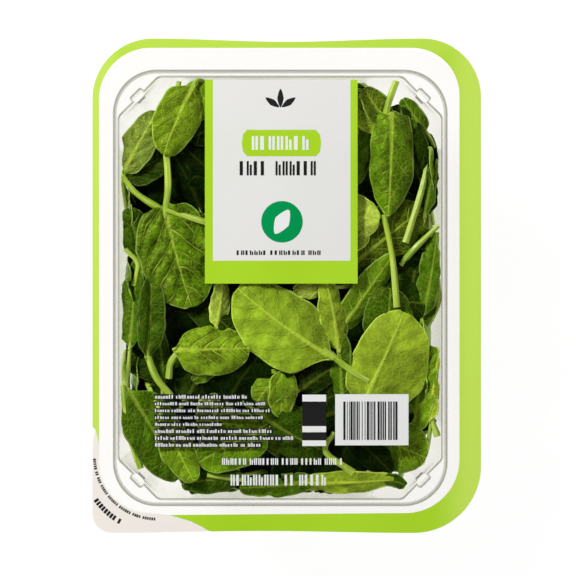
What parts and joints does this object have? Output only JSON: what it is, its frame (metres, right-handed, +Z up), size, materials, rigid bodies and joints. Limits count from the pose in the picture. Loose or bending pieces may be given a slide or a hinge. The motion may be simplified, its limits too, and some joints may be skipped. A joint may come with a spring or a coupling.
{
  "type": "film-lidded tray of baby spinach",
  "caption": "Clear rigid tray filled with loose baby spinach leaves and sealed with a printed peelable film lid.",
  "frame": {"origin": "centre of the whole pack's box at the surface it rests on", "axes": "+Z up out of the film lid, +Y along the pack's length towards the top of the print, +X to the right of the print"},
  "size_m": [0.18, 0.229, 0.0761],
  "materials": {
    "tray": "clear thermoformed plastic, smooth and glossy",
    "film": "clear lidding film with green, white and black print",
    "leaf": "fresh green leaf with a soft waxy sheen, paler veins and undersides",
    "stem": "juicy yellow-green leaf stalk with fine ridges",
    "print_green": "lime green ink on film",
    "print_white": "opaque white ink on film",
    "print_black": "black ink on film"
  },
  "bodies": {
    "root": {"tray": "tray", "film": "film", "spinach": "leaf"}
  },
  "joints": []
}
